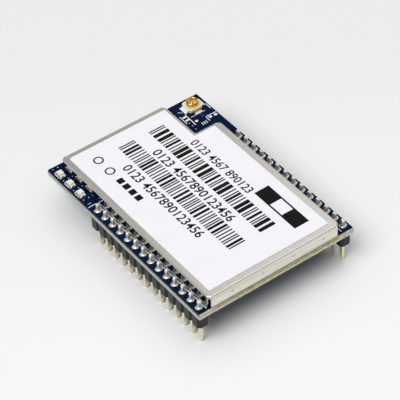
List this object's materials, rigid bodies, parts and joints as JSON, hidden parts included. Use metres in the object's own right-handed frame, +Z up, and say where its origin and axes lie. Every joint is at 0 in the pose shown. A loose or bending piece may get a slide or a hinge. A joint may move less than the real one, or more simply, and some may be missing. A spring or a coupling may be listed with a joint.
{
  "type": "wireless network module",
  "caption": "Plug-in wireless module: a blue circuit board with pin headers along both long edges, an L-shaped metal shield under a white label, and a coaxial antenna socket.",
  "frame": {"origin": "under the middle of the board, level with the pin tips that it stands on", "axes": "+X across the board, +Y along the board towards the antenna socket, +Z up out of the labelled side"},
  "size_m": [0.029, 0.04, 0.0096],
  "materials": {
    "solder_mask": "satin blue solder mask over glass laminate",
    "tinplate": "bright rolled tinplate",
    "label_film": "satin white film with black print",
    "black_moulding": "moulded, slightly glossy",
    "gilt_contact": "thin bright gilding",
    "solder": "bright tin solder",
    "ivory_moulding": "moulded ivory plastic",
    "lamp_carrier": "white carrier",
    "lamp_lens": "clear pale yellow resin",
    "tinned_end": "tinned",
    "chip_moulding": "black moulding compound",
    "chip_ceramic": "fired ceramic",
    "ferrite": "sintered ferrite",
    "copper_wire": "enamelled copper"
  },
  "bodies": {
    "root": {"circuit_board": "solder_mask", "shield_frame": "tinplate", "shield_cover": "tinplate", "crystal_lid": "tinplate", "label": "label_film", "left_header_housing": "black_moulding", "right_header_housing": "black_moulding", "left_header_pins": "gilt_contact", "right_header_pins": "gilt_contact", "antenna_socket_shell": "gilt_contact", "antenna_socket_contact": "gilt_contact", "left_solder_joints": "solder", "right_solder_joints": "solder", "antenna_socket_base": "ivory_moulding", "status_lamp_1_base": "lamp_carrier", "status_lamp_2_base": "lamp_carrier", "status_lamp_3_base": "lamp_carrier", "status_lamp_1_lens": "lamp_lens", "status_lamp_2_lens": "lamp_lens", "status_lamp_3_lens": "lamp_lens", "lamp_terminals": "tinned_end", "bulk_capacitor_ends": "tinned_end", "bypass_capacitor_ends": "tinned_end", "lamp_resistor_ends": "tinned_end", "matching_chip_ends": "tinned_end", "flash_leads": "tinned_end", "regulator_leads": "tinned_end", "processor": "chip_moulding", "memory_chip": "chip_moulding", "flash_chip": "chip_moulding", "regulator": "chip_moulding", "lamp_resistors": "chip_moulding", "bulk_capacitors": "chip_ceramic", "bypass_capacitors": "chip_ceramic", "matching_chips": "chip_ceramic", "radio_filter": "chip_ceramic", "crystal_base": "chip_ceramic", "inductor_core": "ferrite", "inductor_winding": "copper_wire"}
  },
  "joints": []
}
